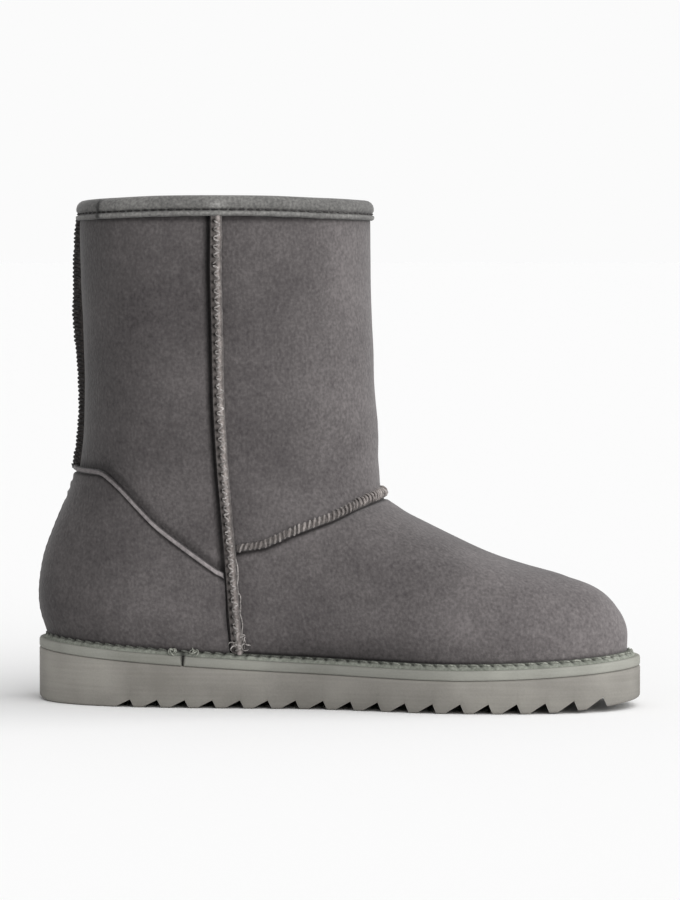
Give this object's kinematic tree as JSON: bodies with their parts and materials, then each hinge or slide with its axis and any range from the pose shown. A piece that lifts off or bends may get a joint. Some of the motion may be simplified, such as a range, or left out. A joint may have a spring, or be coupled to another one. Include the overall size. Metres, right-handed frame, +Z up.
{
  "type": "sheepskin boot",
  "caption": "Short sheepskin boot, pull-on, with a roped instep seam, rolled collar and thick ridged foam sole.",
  "frame": {"origin": "on the floor, under the middle of the sole", "axes": "+X towards the toe, +Y towards the outer side of the left foot, +Z up"},
  "size_m": [0.2702, 0.1082, 0.225],
  "materials": {
    "foam_sole": "matte moulded foam",
    "foam_rim": "matte moulded foam",
    "fleece": "short wool pile",
    "suede": "napped suede",
    "welt_tape": "stitched tape",
    "seam": "overlocked suede edge",
    "binding": "folded binding"
  },
  "bodies": {
    "root": {"outsole": "foam_sole", "sole_rim": "foam_rim", "insole": "fleece", "upper": "suede", "welt": "welt_tape", "heel_counter": "suede", "side_seam_outer": "seam", "side_seam_inner": "seam", "back_seam": "seam", "heel_seam": "suede", "instep_seam": "seam", "collar_binding": "binding"}
  },
  "joints": []
}
